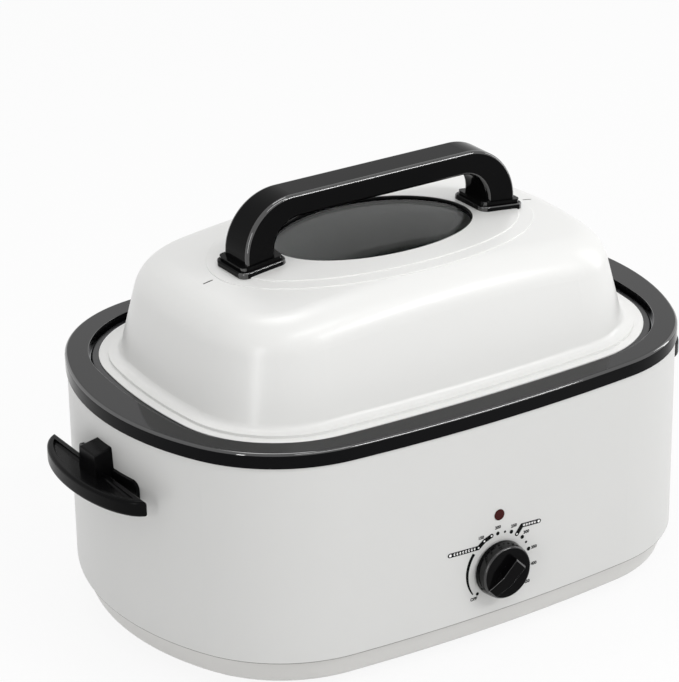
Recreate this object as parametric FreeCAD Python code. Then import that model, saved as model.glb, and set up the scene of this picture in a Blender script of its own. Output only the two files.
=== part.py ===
import FreeCAD, Part
import math
import os

V = FreeCAD.Vector
UP = V(0, 0, 1)

# Electric roaster oven, in millimetres. Z is up and zero is the surface it stands on.
# X runs along the oven, and the controls face -Y.

# Plan outlines: half length, half depth, corner radius, and the angles where the end and side arcs stop.
rim_half_length = 280.0
rim_half_depth = 195.5
rim_corner_radius = 132.0
rim_end_angle = 27.0
rim_side_angle = 84.5
lid_half_length = 241.5
lid_half_depth = 163.0
lid_corner_radius = 105.5
lid_end_angle = 8.0
lid_side_angle = 86.0
crown_half_length = 197.0
crown_half_depth = 122.0
crown_corner_radius = 69.0
rack_half_length = 188.0
rack_half_depth = 110.0
rack_corner_radius = 70.0

# Heights above the worktop.
foot_height = 11.0
base_height = 25.0
rim_top_z = 234.5
lid_top_z = 336.8
handle_top_z = 389.5

# Outer casing.
shell_inset = 1.5
shell_wall = 0.8
shell_hem_width = 12.0
shell_seat_gap = 0.05
base_wall = 0.9
base_inset_top = 2.7
base_inset_bottom = 11.0
base_bend_radius = 7.0
base_slot_count = 7
base_slot_length = 60.0
base_slot_width = 4.0
base_slot_pitch = 22.0

# Collar round the mouth, which stands on the liner's flange.
collar_wall = 0.9
skirt_height = 13.8
collar_edge_radius = 3.0
well_gap = 9.0
well_depth = 10.4

# Liner, heater and insulation.
liner_inset = 7.0
liner_wall = 0.8
liner_bottom_z = 52.0
liner_bend_radius = 16.0
band_gap = 0.3
band_thickness = 2.2
band_low_z = 99.0
band_height = 46.0
band_tab_width = 10.0
band_tab_length = 9.0
band_tab_thickness = 1.0
band_tab_pitch = 30.0
blanket_gap = 0.6
blanket_thickness = 13.0
blanket_end_gap = 4.0
blanket_window_width = 60.0
blanket_window_height = 64.0
bracket_sheet = 1.5
bracket_width = 26.0
bracket_flange = 22.0

# Feet and their screws.
foot_x = 158.0
foot_y = 122.0
foot_radius = 13.0
foot_taper = 2.0
foot_bore_radius = 5.2
foot_web = 5.0
m4_radius = 2.0
m4_head_radius = 3.8
m4_head_height = 2.4
screw_clearance = 0.15
foot_screw_length = 17.0

# Insert pan.
pan_wall = 0.9
pan_inset = 13.0
pan_taper = 9.0
pan_bottom_z = 60.0
pan_bend_radius = 18.0
pan_bead_radius = 2.4
pan_bead_offset = 5.0
pan_floor_rise = 1.5
pan_floor_margin = 34.0

# Rack.
frame_wire_radius = 2.3
leg_wire_radius = 1.8
cross_wire_radius = 1.4
cross_wire_pitch = 23.5
cross_wire_count = 15
rack_floor_gap = 0.3
rack_height = 18.0
rack_leg_x = 118.0
rack_leg_bend = 8.0
rack_leg_inset = 24.0
rack_handle_height = 112.0
rack_handle_width = 88.0
rack_handle_bend = 14.0
weld_depth = 0.6

# Lid.
lid_wall = 0.9
lid_tier_width = 8.5
lid_tier_height = 2.4
dome_inset = 18.5
dome_foot_radius = 6.0
dome_shoulder_radius = 37.0
crown_radius = 1100.0
step_height = 0.85
outer_step_length = 161.0
outer_step_depth = 102.5
inner_step_length = 147.0
inner_step_depth = 90.0
vent_x = 170.0
vent_length = 10.0
vent_width = 1.8

# Viewing window.
window_half_length = 98.5
window_half_depth = 66.0
glass_thickness = 4.0
glass_overlap = 7.0
gasket_wall = 1.2
gasket_lip = 1.3
gasket_lip_recess = 0.4
gasket_cover = 2.6
retainer_sheet = 1.0
retainer_gap = 0.4
retainer_flange = 7.0

# Lid handle and its bases.
handle_half_span = 142.0
handle_top_thickness = 21.0
handle_leg_thickness = 29.0
handle_outer_bend = 50.0
handle_inner_bend = 27.0
handle_top_width = 34.0
handle_foot_width = 41.0
handle_edge_radius = 3.5
pad_x = 126.0
pad_length = 47.0
pad_width = 49.0
pad_corner_radius = 8.0
pad_lip_height = 4.0
pad_height = 7.5
pad_step = 3.0
m5_radius = 2.5
m5_head_radius = 4.6
m5_head_height = 3.0
lid_screw_depth = 16.0
washer_radius = 8.0
washer_thickness = 1.2

# Side handles.
grip_half_length = 82.5
grip_bulge = 35.0
grip_centre_gap = 0.5
grip_chord_gap = 5.5
grip_top_z = 177.5
grip_thickness = 15.0
grip_edge_radius = 3.0
grip_dish_margin = 6.0
grip_dish_depth = 2.5
grip_pocket_margin = 4.0
grip_pocket_depth = 9.0
grip_rib_width = 3.0
grip_rib_y = 44.0
plate_thickness = 3.0
plate_half_length = 51.0
plate_low_z = 153.0
plate_high_z = 180.0
plate_corner_radius = 8.0
block_half_width = 13.0
block_draft = 3.5
block_reach = 17.0
block_high_z = 199.0
block_slope = 3.6
block_edge_radius = 2.0
grip_screw_y = 8.0
grip_screw_z = 170.0
grip_screw_bite = 12.0
backplate_wall = 1.5
backplate_margin = 5.0

# Controls on the front.
dial_z = 78.5
dial_off_angle = -133.0
lamp_z = 129.5
knob_radius = 26.0
knob_body_height = 12.5
knob_gap = 1.2
knob_shoulder_radius = 7.0
knob_bar_width = 13.5
knob_bar_half_length = 16.5
knob_bar_height = 6.5
knob_bar_edge_radius = 1.4
knob_index_length = 8.0
knob_index_width = 1.2
knob_index_depth = 0.5
shaft_radius = 3.0
shaft_flat = 1.0
shaft_clearance = 0.05
shaft_hole_radius = 6.0
shaft_seat_depth = 8.0
knob_socket_depth = 14.0
shaft_stop_gap = 1.0
thermostat_width = 30.0
thermostat_height = 36.0
thermostat_depth = 15.0
thermostat_terminal_width = 6.3
thermostat_terminal_length = 9.0
thermostat_terminal_thickness = 0.8
thermostat_terminal_pitch = 14.0
thermostat_bush_radius = 5.0
thermostat_bush_length = 7.0
thermostat_plate = 1.2
thermostat_ear = 12.0
lens_radius = 5.2
lens_barrel_radius = 4.2
lens_clearance = 0.1
lens_proud = 1.0
lens_depth = 9.0
lamp_radius = 3.2
lamp_length = 14.0
lamp_cap_wall = 1.0

# Cord inlet, terminal block, cut-out and leads.
gland_z = 60.0
gland_bore_radius = 4.0
gland_throat_length = 12.0
gland_barrel_radius = 8.0
gland_barrel_wall = 2.2
gland_barrel_length = 8.0
gland_flange_radius = 11.0
gland_flange_thickness = 3.0
gland_nose_radius = 6.0
gland_reach = 13.5
gland_clearance = 0.1
terminal_length = 44.0
terminal_depth = 20.0
terminal_height = 13.0
terminal_back_gap = 66.0
terminal_wells = 3
terminal_well_radius = 3.0
terminal_well_depth = 7.0
cutout_x = 60.0
cutout_radius = 8.0
cutout_height = 9.0
cutout_plate_length = 32.0
cutout_plate_width = 14.0
cutout_plate_thickness = 1.0
lead_radius = 1.3
lead_bend = 8.0
lead_gap = 0.3
lamp_lead_radius = 0.8
lamp_lead_bend = 1.6
lamp_lead_pitch = 3.6
lamp_lead_run = 3.0

# Derived heights and places.
base_z = foot_height
seam_z = base_z + base_height
floor_top_z = base_z + base_wall
liner_top_z = rim_top_z - well_depth
pan_flange_top_z = liner_top_z + 2 * pan_bead_radius
lid_low_z = pan_flange_top_z
lid_flange_top_z = lid_low_z + lid_wall
lid_tier_top_z = lid_flange_top_z + lid_tier_height
sphere_top = crown_radius + 2 * step_height
sphere_centre_z = lid_top_z - sphere_top
front_y = -(rim_half_depth - shell_inset)
end_x = rim_half_length - shell_inset
terminal_y = -front_y - terminal_back_gap


def sine(angle):
    return math.sin(math.radians(angle))


def cosine(angle):
    return math.cos(math.radians(angle))


class Oval:
    """A closed outline of eight tangent arcs: two ends, two long sides and four corners."""

    def __init__(self, half_length, half_depth, corner_radius, end_angle, side_angle):
        x_rest = half_length - corner_radius * (cosine(end_angle) - cosine(side_angle))
        y_rest = half_depth - corner_radius * (sine(side_angle) - sine(end_angle))
        flat_end = 1 - cosine(end_angle)
        flat_side = 1 - sine(side_angle)
        scale = flat_end * flat_side - cosine(side_angle) * sine(end_angle)
        self.end_radius = (x_rest * flat_side - cosine(side_angle) * y_rest) / scale
        self.side_radius = (flat_end * y_rest - sine(end_angle) * x_rest) / scale
        self.corner_radius = corner_radius
        self.end = end_angle
        self.side = side_angle
        self.half_length = half_length
        self.half_depth = half_depth
        self.end_centre = half_length - self.end_radius
        self.side_centre = half_depth - self.side_radius
        reach = self.end_radius - corner_radius
        self.corner_x = self.end_centre + reach * cosine(end_angle)
        self.corner_y = reach * sine(end_angle)

    def arcs(self):
        """Centre x, centre y, radius, first angle and last angle of each arc, anticlockwise."""
        end, side = self.end, self.side
        corner = self.corner_radius
        return [
            (self.end_centre, 0, self.end_radius, -end, end),
            (self.corner_x, self.corner_y, corner, end, side),
            (0, self.side_centre, self.side_radius, side, 180 - side),
            (-self.corner_x, self.corner_y, corner, 180 - side, 180 - end),
            (-self.end_centre, 0, self.end_radius, 180 - end, 180 + end),
            (-self.corner_x, -self.corner_y, corner, 180 + end, 180 + side),
            (0, -self.side_centre, self.side_radius, 180 + side, 360 - side),
            (self.corner_x, -self.corner_y, corner, 360 - side, 360 - end),
        ]

    def wire(self, z, grow=0.0):
        """The outline at height z, moved outward by grow."""
        edges = []
        for x, y, radius, first, last in self.arcs():
            angles = (first, (first + last) / 2, last)
            points = [V(x + (radius + grow) * cosine(a), y + (radius + grow) * sine(a), z) for a in angles]
            edges.append(Part.Arc(*points).toShape())
        return Part.Wire(edges)

    def prism(self, low, high, grow=0.0):
        return Part.Face(self.wire(low, grow)).extrude(V(0, 0, high - low))

    def ring(self, low, high, outer, inner):
        return self.prism(low, high, outer).cut(self.prism(low, high, inner))

    def depth_at(self, x, grow=0.0):
        """Half depth of the outline at x."""
        for cx, cy, radius, first, last in self.arcs()[1:3]:
            reach = radius + grow
            if cx + reach * cosine(last) <= x <= cx + reach * cosine(first):
                return cy + math.sqrt(reach ** 2 - (x - cx) ** 2)
        return math.sqrt(max((self.end_radius + grow) ** 2 - (x - self.end_centre) ** 2, 0.0))


rim = Oval(rim_half_length, rim_half_depth, rim_corner_radius, rim_end_angle, rim_side_angle)
lid = Oval(lid_half_length, lid_half_depth, lid_corner_radius, lid_end_angle, lid_side_angle)
crown = Oval(crown_half_length, crown_half_depth, crown_corner_radius, lid_end_angle, lid_side_angle)


def box(low, high):
    """A box from its lowest to its highest corner."""
    size = [b - a for a, b in zip(low, high)]
    return Part.makeBox(*size, V(*low))


def rod(radius, start, end):
    """A round bar between two points."""
    axis = V(*end) - V(*start)
    return Part.makeCylinder(radius, axis.Length, V(*start), axis)


def ellipse_prism(half_length, half_depth, low, high):
    curve = Part.Ellipse(V(0, 0, low), half_length, half_depth).toShape()
    return Part.Face(Part.Wire([curve])).extrude(V(0, 0, high - low))


def edges_at(shape, z):
    """The edges that lie wholly at height z."""
    return [e for e in shape.Edges if abs(e.BoundBox.ZMin - z) < 1e-4 and abs(e.BoundBox.ZMax - z) < 1e-4]


def edges_within(edges, half_length, half_depth):
    """Those of the edges that stay inside a rectangle centred on the oven."""
    inside = []
    for e in edges:
        b = e.BoundBox
        if max(abs(b.XMin), abs(b.XMax)) < half_length and max(abs(b.YMin), abs(b.YMax)) < half_depth:
            inside.append(e)
    return inside


def tub(outline, low, high, grow_low, grow_high, bend):
    """A tapered solid with a rounded bottom edge."""
    body = Part.makeLoft([outline.wire(low, grow_low), outline.wire(high, grow_high)], True, True)
    return body.makeFillet(bend, edges_at(body, low))


def fused(first, *others):
    shape = first
    for other in others:
        shape = shape.fuse(other)
    return shape.removeSplitter()


def mirrored(shape):
    """The same shape on the other end of the oven."""
    return shape.mirror(V(0, 0, 0), V(1, 0, 0))


def save(name, *shapes):
    """Writes one node, with all of its separate solids."""
    solids = [s for shape in shapes for s in shape.Solids]
    shape = solids[0] if len(solids) == 1 else Part.makeCompound(solids)
    shape.exportStep(os.path.join("parts", name + ".step"))


def foot_places():
    return [(x, y) for x in (-foot_x, foot_x) for y in (-foot_y, foot_y)]


def smooth_path(points, bend):
    """Straight runs through the points, with a tangent arc at each corner."""
    points = [V(*p) for p in points]
    edges = []
    start = points[0]
    for before, corner, after in zip(points, points[1:], points[2:]):
        into = (corner - before).normalize()
        out = (after - corner).normalize()
        half_turn = into.getAngle(out) / 2
        setback = bend * math.tan(half_turn)
        first = corner - into * setback
        last = corner + out * setback
        inward = (out - into).normalize()
        middle = corner + inward * (bend / math.cos(half_turn) - bend)
        if (first - start).Length > 1e-6:
            edges.append(Part.LineSegment(start, first).toShape())
        edges.append(Part.Arc(first, middle, last).toShape())
        start = last
    edges.append(Part.LineSegment(start, points[-1]).toShape())
    return Part.Wire(edges)


def tube(points, bend, radius):
    """A round wire along a smooth path."""
    path = smooth_path(points, bend)
    start = V(*points[0])
    direction = V(*points[1]) - start
    profile = Part.Wire([Part.Circle(start, direction, radius).toShape()])
    return path.makePipeShell([profile], True, True)


# Casing


def outer_shell():
    top = rim_top_z - collar_wall - shell_drop()
    wall = rim.ring(seam_z, top, -shell_inset, -shell_inset - shell_wall)
    hem = rim.ring(seam_z, seam_z + shell_wall, -shell_inset, -shell_inset - shell_hem_width)
    shell = fused(wall, hem)
    through = 3 * shell_wall
    holes = []
    openings = [
        (front_y, dial_z, shaft_hole_radius),
        (front_y, lamp_z, lens_barrel_radius + lens_clearance),
        (-front_y, gland_z, gland_barrel_radius + gland_clearance),
    ]
    for y, z, radius in openings:
        holes.append(rod(radius, (0, y - through, z), (0, y + through, z)))
    for x in (-end_x, end_x):
        for y in (-grip_screw_y, grip_screw_y):
            reach = end_x - end_depth(y)
            start = (x - math.copysign(reach + through, x), y, grip_screw_z)
            end = (x + math.copysign(through, x), y, grip_screw_z)
            holes.append(rod(m4_radius + screw_clearance, start, end))
    return shell.cut(holes)


def end_depth(y, grow=0.0):
    """How far the casing's end reaches along X at y."""
    radius = rim.end_radius - shell_inset + grow
    return rim.end_centre + math.sqrt(radius ** 2 - y ** 2)


def shell_drop():
    """How far the casing's upper edge stops below the collar, to clear the bend inside it."""
    bend = collar_edge_radius - collar_wall
    past = max(bend - (shell_inset - collar_wall), 0.0)
    return bend - math.sqrt(bend ** 2 - past ** 2) + shell_seat_gap


def base_pan():
    high_grow = -shell_inset - base_inset_top
    low_grow = -shell_inset - base_inset_bottom
    outside = tub(rim, base_z, seam_z, low_grow, high_grow, base_bend_radius)
    inner_bend = base_bend_radius - base_wall
    inside = tub(rim, floor_top_z, seam_z, low_grow - base_wall, high_grow - base_wall, inner_bend)
    pan = outside.cut(inside)
    holes = []
    for x, y in foot_places():
        holes.append(rod(m4_radius + screw_clearance, (x, y, base_z), (x, y, floor_top_z)))
    for side in (-1, 1):
        for i in range(base_slot_count):
            x = (i - (base_slot_count - 1) / 2) * base_slot_pitch
            y = side * (foot_y - base_slot_length)
            holes.append(slot(x, y, base_slot_width, base_slot_length, base_z, floor_top_z))
    return pan.cut(holes)


def slot(x, y, width, length, low, high):
    """A round-ended slot along Y."""
    radius = width / 2
    half = length / 2 - radius
    middle = box((x - radius, y - half, low), (x + radius, y + half, high))
    ends = [rod(radius, (x, y + s * half, low), (x, y + s * half, high)) for s in (-1, 1)]
    return fused(middle, *ends)


def rim_collar():
    skirt_low = rim_top_z - skirt_height
    outside = rim.prism(skirt_low, rim_top_z)
    outside = outside.makeFillet(collar_edge_radius, edges_at(outside, rim_top_z))
    under_top = rim_top_z - collar_wall
    inside = rim.prism(skirt_low, under_top, -collar_wall)
    inside = inside.makeFillet(collar_edge_radius - collar_wall, edges_at(inside, under_top))
    cover = outside.cut(inside).cut(lid.prism(skirt_low, rim_top_z, well_gap))
    well = lid.ring(liner_top_z, rim_top_z, well_gap + collar_wall, well_gap)
    collar = fused(cover, well)
    spread = well_gap + collar_wall
    mouth = edges_within(edges_at(collar, rim_top_z), lid_half_length + spread, lid_half_depth + spread)
    return collar.makeFillet(collar_wall * 0.8, mouth)


def feet():
    """Rubber feet, each with a bore for its screw's head."""
    shapes = []
    for x, y in foot_places():
        body = Part.makeCone(foot_radius - foot_taper, foot_radius, foot_height, V(x, y, 0))
        bore = rod(foot_bore_radius, (x, y, 0), (x, y, foot_height - foot_web))
        hole = rod(m4_radius + screw_clearance, (x, y, 0), (x, y, foot_height))
        shapes.append(body.cut([bore, hole]))
    return shapes


def foot_screws():
    low = foot_height - foot_web
    shapes = []
    for x, y in foot_places():
        head = rod(m4_head_radius, (x, y, low - m4_head_height), (x, y, low))
        shank = rod(m4_radius, (x, y, low), (x, y, low + foot_screw_length))
        shapes.append(fused(head, shank))
    return shapes


def liner_brackets():
    """Z brackets that carry the liner on the floor of the base."""
    shapes = []
    for x, y in foot_places():
        side = math.copysign(1, x)
        web = x - side * bracket_flange / 2
        y_low, y_high = y - bracket_width / 2, y + bracket_width / 2
        xs = sorted((web, web + side * bracket_flange))
        low = box((xs[0], y_low, floor_top_z), (xs[1], y_high, floor_top_z + bracket_sheet))
        xs = sorted((web, web + side * bracket_sheet))
        upright = box((xs[0], y_low, floor_top_z), (xs[1], y_high, liner_bottom_z))
        xs = sorted((web + side * bracket_sheet, web - side * bracket_flange))
        high = box((xs[0], y_low, liner_bottom_z - bracket_sheet), (xs[1], y_high, liner_bottom_z))
        hole = rod(m4_radius + screw_clearance, (x, y, base_z), (x, y, floor_top_z + 2 * bracket_sheet))
        shapes.append(fused(low, upright, high).cut(hole))
    return shapes


# Liner, heater and insulation


def cookwell_liner():
    outside = tub(lid, liner_bottom_z, liner_top_z, -liner_inset, -liner_inset, liner_bend_radius)
    inner_grow = -liner_inset - liner_wall
    inner_bend = liner_bend_radius - liner_wall
    inside = tub(lid, liner_bottom_z + liner_wall, liner_top_z, inner_grow, inner_grow, inner_bend)
    low = liner_top_z - liner_wall
    flange = lid.ring(low, liner_top_z, well_gap + collar_wall, -liner_inset - liner_wall / 2)
    return fused(outside.cut(inside), flange)


def heater_band():
    """The wrap-round element in its steel jacket, with two flat terminals at the back."""
    inner = band_gap - liner_inset
    band = lid.ring(band_low_z, band_low_z + band_height, inner + band_thickness, inner)
    tabs = []
    for x in (-band_tab_pitch / 2, band_tab_pitch / 2):
        y = lid.depth_at(x, inner + band_thickness / 2)
        z = band_low_z + band_height / 2
        low = (x - band_tab_width / 2, y, z - band_tab_thickness / 2)
        high = (x + band_tab_width / 2, y + band_tab_length + band_thickness / 2, z + band_tab_thickness / 2)
        tabs.append(box(low, high))
    return fused(band, *tabs)


def blanket():
    """Glass-fibre wrap round the liner, open in front of the thermostat and at the terminals."""
    inner = band_gap + band_thickness + blanket_gap - liner_inset
    low = liner_bottom_z + blanket_end_gap
    high = liner_top_z - liner_wall - blanket_end_gap
    wrap = lid.ring(low, high, inner + blanket_thickness, inner)
    half, rise = blanket_window_width / 2, blanket_window_height / 2
    window = box((-half, front_y, dial_z - rise), (half, 0, dial_z + rise))
    band_middle = band_low_z + band_height / 2
    reach = band_tab_pitch / 2 + band_tab_width
    gap = box((-reach, 0, band_middle - band_tab_width), (reach, -front_y, band_middle + band_tab_width))
    return wrap.cut([window, gap])


# Insert pan


def insert_pan():
    outside = tub(lid, pan_bottom_z, pan_flange_top_z, -pan_inset - pan_taper, -pan_inset, pan_bend_radius)
    inner_bend = pan_bend_radius - pan_wall
    low_grow = -pan_inset - pan_taper - pan_wall
    inside = tub(lid, pan_bottom_z + pan_wall, pan_flange_top_z, low_grow, -pan_inset - pan_wall, inner_bend)
    low_z = pan_flange_top_z - pan_wall
    flange = lid.ring(low_z, pan_flange_top_z, pan_bead_offset, -pan_inset - pan_wall / 2)
    bead_path = lid.wire(pan_flange_top_z - pan_bead_radius, pan_bead_offset)
    start = bead_path.Edges[0].valueAt(bead_path.Edges[0].FirstParameter)
    tangent = bead_path.Edges[0].tangentAt(bead_path.Edges[0].FirstParameter)
    profile = Part.Wire([Part.Circle(start, tangent, pan_bead_radius).toShape()])
    bead = bead_path.makePipeShell([profile], True, True)
    shell = outside.cut(inside)
    floor_z = pan_bottom_z + pan_wall
    margin = pan_inset + pan_floor_margin
    rise = lid.prism(floor_z, floor_z + pan_floor_rise, -margin)
    dent = lid.prism(pan_bottom_z, pan_bottom_z + pan_floor_rise, -margin - pan_wall)
    return fused(shell, flange, bead, rise).cut(dent)


# Rack


def rack_frame(z):
    """The rack's outer wire: straight runs with a bend at each corner."""
    x, y, bend = rack_half_length, rack_half_depth, rack_corner_radius
    points = [(0, -y, z), (x, -y, z), (x, y, z), (-x, y, z), (-x, -y, z), (0, -y, z)]
    return tube(points, bend, frame_wire_radius)


def rack_frame_depth(x):
    """Half depth of the frame wire's middle at x."""
    past = abs(x) - (rack_half_length - rack_corner_radius)
    if past <= 0:
        return rack_half_depth
    return rack_half_depth - rack_corner_radius + math.sqrt(rack_corner_radius ** 2 - past ** 2)


def roasting_rack():
    """A welded wire rack: a frame, cross wires, two bent legs and two lifting loops."""
    floor = pan_bottom_z + pan_wall + pan_floor_rise
    leg_z = floor + rack_floor_gap + leg_wire_radius
    frame_z = leg_z + rack_height
    wires = [rack_frame(frame_z)]
    cross_z = frame_z + frame_wire_radius + cross_wire_radius - weld_depth
    for i in range(cross_wire_count):
        x = (i - (cross_wire_count - 1) / 2) * cross_wire_pitch
        y = rack_frame_depth(x)
        wires.append(rod(cross_wire_radius, (x, -y, cross_z), (x, y, cross_z)))
    for x in (-rack_leg_x, rack_leg_x):
        y = rack_frame_depth(x)
        inner = y - rack_leg_inset
        points = [(x, -y, frame_z), (x, -inner, leg_z), (x, inner, leg_z), (x, y, frame_z)]
        wires.append(tube(points, rack_leg_bend, leg_wire_radius))
    half = rack_handle_width / 2
    for x in (-rack_half_length, rack_half_length):
        top = frame_z + rack_handle_height
        points = [(x, -half, frame_z), (x, -half, top), (x, half, top), (x, half, frame_z)]
        wires.append(tube(points, rack_handle_bend, leg_wire_radius))
    return wires[0].multiFuse(wires[1:])


# Lid


def sphere(drop, extra=0.0):
    """The ball whose top is the lid's crown, made smaller by drop and larger by extra."""
    return Part.makeSphere(crown_radius - drop + extra, V(0, 0, sphere_centre_z))


def plateau(half_length, half_depth, drop, level):
    """A raised oval on the crown, with its upper edge rounded."""
    low = (lid_low_z + lid_top_z) / 2
    column = ellipse_prism(half_length - drop, half_depth - drop, low, lid_top_z + 1)
    raised = column.common(sphere(drop, level * step_height))
    upper = [e for e in raised.Edges if e.BoundBox.ZMax > low + 1 and e.BoundBox.XLength > 1]
    return raised.makeFillet(step_height * 0.8, upper)


def dome(drop):
    """The solid under the lid's outer face, or under its inner face when drop is the wall."""
    low = lid.wire(lid_tier_top_z - drop, -dome_inset - drop)
    high = crown.wire(lid_top_z, -drop)
    walls = Part.makeLoft([low, high], True, True)
    body = walls.common(sphere(drop))
    low_z = lid_tier_top_z - drop
    high_edges = [e for e in body.Edges if e.BoundBox.ZMin > (low_z + lid_top_z) / 2]
    body = body.makeFillet(dome_shoulder_radius - drop, high_edges)
    steps = [(outer_step_length, outer_step_depth, 1), (inner_step_length, inner_step_depth, 2)]
    for half_length, half_depth, level in steps:
        body = body.fuse(plateau(half_length, half_depth, drop, level))
    return body


def dome_on_tier(tier, drop):
    """The tier and the dome as one solid, with a hollow fillet where they meet."""
    body = fused(tier, dome(drop))
    inset = (dome_inset + lid_tier_width) / 2 + drop
    level = edges_at(body, lid_tier_top_z - drop)
    crease = edges_within(level, lid_half_length - inset, lid_half_depth - inset)
    return body.makeFillet(dome_foot_radius + drop, crease)


def lid_outside():
    edge = lid.prism(lid_low_z, lid_flange_top_z)
    tier = lid.prism(lid_low_z, lid_tier_top_z, -lid_tier_width)
    return fused(edge, dome_on_tier(tier, 0.0))


def lid_inside():
    tier = lid.prism(lid_low_z, lid_tier_top_z - lid_wall, -lid_tier_width - lid_wall)
    return dome_on_tier(tier, lid_wall)


def lid_shell(outside):
    shell = outside.cut(lid_inside())
    holes = [ellipse_prism(window_half_length, window_half_depth, lid_low_z, lid_top_z)]
    for x in (-vent_x, vent_x):
        low = (x - vent_length / 2, -vent_width / 2, lid_tier_top_z)
        holes.append(box(low, (x + vent_length / 2, vent_width / 2, lid_top_z)))
    through = 3 * lid_wall
    for side in (-1, 1):
        hole = rod(m5_radius + screw_clearance, (0, 0, -through), (0, 0, through))
        holes.append(on_crown(side, hole))
    return shell.cut(holes)


def on_crown(side, shape):
    """Sets a shape made about the origin on the lid's inner step, square to its surface."""
    tilt = math.degrees(math.asin(pad_x / sphere_top))
    placed = shape.copy()
    placed.translate(V(0, 0, sphere_top))
    placed.rotate(V(0, 0, 0), V(0, 1, 0), side * tilt)
    placed.translate(V(0, 0, sphere_centre_z))
    return placed


# Window


def crown_layer(half_length, half_depth, high_drop, low_drop):
    """An oval piece of a shell that follows the crown, between two depths below its face."""
    column = ellipse_prism(half_length, half_depth, lid_low_z, lid_top_z)
    layer = column.common(sphere(high_drop, 2 * step_height))
    return layer.cut(sphere(low_drop, 2 * step_height))


def crown_ring(outer, inner, high_drop, low_drop):
    ring = crown_layer(window_half_length + outer, window_half_depth + outer, high_drop, low_drop)
    hole = ellipse_prism(window_half_length + inner, window_half_depth + inner, lid_low_z, lid_top_z)
    return ring.cut(hole)


def window_parts():
    glass_high = lid_wall + gasket_wall
    glass_low = glass_high + glass_thickness
    gasket_low = glass_low + gasket_wall
    glass_size = (window_half_length + glass_overlap, window_half_depth + glass_overlap)
    glass = crown_layer(*glass_size, glass_high, glass_low)
    seal_out = glass_overlap + gasket_cover
    channel = crown_ring(seal_out, -gasket_lip, lid_wall, gasket_low)
    lip = crown_ring(-screw_clearance, -gasket_lip, gasket_lip_recess, 2 * lid_wall)
    gasket = fused(channel, lip).cut(glass)
    wall_in = seal_out + retainer_gap
    wall_out = wall_in + retainer_sheet
    tray = crown_ring(wall_out, 0, gasket_low, gasket_low + retainer_sheet)
    wall = crown_ring(wall_out, wall_in, lid_wall, gasket_low + retainer_sheet)
    flange = crown_ring(wall_out + retainer_flange, wall_in, lid_wall, lid_wall + retainer_sheet)
    return glass, gasket, fused(tray, wall, flange)


# Lid handle


def rounded_plate(length, width, corner, low, high):
    """An upright block with round corners, centred on the origin."""
    block = box((-length / 2, -width / 2, low), (length / 2, width / 2, high))
    upright = [e for e in block.Edges if e.BoundBox.ZLength > (high - low) / 2]
    return block.makeFillet(corner, upright)


def handle_pad(side, outside):
    """The spacer between a leg of the handle and the lid, cut to the lid's curve below."""
    depth = 4 * step_height
    lip = rounded_plate(pad_length, pad_width, pad_corner_radius, -depth, pad_lip_height)
    lip = lip.makeFillet(pad_lip_height / 3, edges_at(lip, pad_lip_height))
    top_length, top_width = pad_length - 2 * pad_step, pad_width - 2 * pad_step
    tier = rounded_plate(top_length, top_width, pad_corner_radius - pad_step, -depth, pad_height)
    hole = rod(m5_radius + screw_clearance, (0, 0, -2 * depth), (0, 0, pad_height))
    pad = fused(lip, tier).cut(hole)
    return on_crown(side, pad).cut(outside)


def arch_outline(half_span, top, bend):
    """Half a rounded arch in the XZ plane, closed along the bottom, as a face."""
    low = lid_top_z - handle_drop()
    left, right = -half_span, half_span
    turn = bend * (1 - cosine(45))
    points = [V(left, 0, low), V(left, 0, top - bend)]
    points += [V(left + turn, 0, top - turn), V(left + bend, 0, top)]
    points += [V(right - bend, 0, top), V(right - turn, 0, top - turn)]
    points += [V(right, 0, top - bend), V(right, 0, low)]
    edges = [
        Part.LineSegment(points[0], points[1]).toShape(),
        Part.Arc(points[1], points[2], points[3]).toShape(),
        Part.LineSegment(points[3], points[4]).toShape(),
        Part.Arc(points[4], points[5], points[6]).toShape(),
        Part.LineSegment(points[6], points[7]).toShape(),
        Part.LineSegment(points[7], points[0]).toShape(),
    ]
    return Part.Face(Part.Wire(edges))


def handle_drop():
    """How far below the lid's top the legs are drawn before they are cut to their pads."""
    return handle_half_span ** 2 / crown_radius


def lid_handle():
    reach = handle_foot_width
    outer = arch_outline(handle_half_span, handle_top_z, handle_outer_bend)
    inner_half = handle_half_span - handle_leg_thickness
    inner = arch_outline(inner_half, handle_top_z - handle_top_thickness, handle_inner_bend)
    arch = outer.cut(inner).extrude(V(0, 2 * reach, 0))
    arch.translate(V(0, -reach, 0))
    low = lid_top_z - handle_drop()
    top_half, low_half = handle_top_width / 2, handle_foot_width / 2
    corners = [V(0, -low_half, low), V(0, low_half, low)]
    corners += [V(0, top_half, handle_top_z), V(0, -top_half, handle_top_z)]
    side = Part.Face(Part.makePolygon(corners + corners[:1]))
    wedge = side.extrude(V(2 * handle_half_span + reach, 0, 0))
    wedge.translate(V(-handle_half_span - reach / 2, 0, 0))
    handle = arch.common(wedge)
    long_edges = [e for e in handle.Edges if e.BoundBox.YLength < top_half]
    long_edges = [e for e in long_edges if e.BoundBox.ZMax > low + 1]
    handle = handle.makeFillet(handle_edge_radius, long_edges)
    below = box((-pad_length, -pad_width, -pad_length), (pad_length, pad_width, pad_height))
    bore = rod(m5_radius + screw_clearance, (0, 0, 0), (0, 0, pad_height + lid_screw_depth))
    cuts = [on_crown(side, cut) for side in (-1, 1) for cut in (below, bore)]
    return handle.cut(cuts)


def lid_screw(side):
    head_top = -lid_wall - washer_thickness - screw_clearance
    head = rod(m5_head_radius, (0, 0, head_top - m5_head_height), (0, 0, head_top))
    shank = rod(m5_radius, (0, 0, head_top), (0, 0, pad_height + lid_screw_depth - 1))
    return on_crown(side, fused(head, shank))


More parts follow.
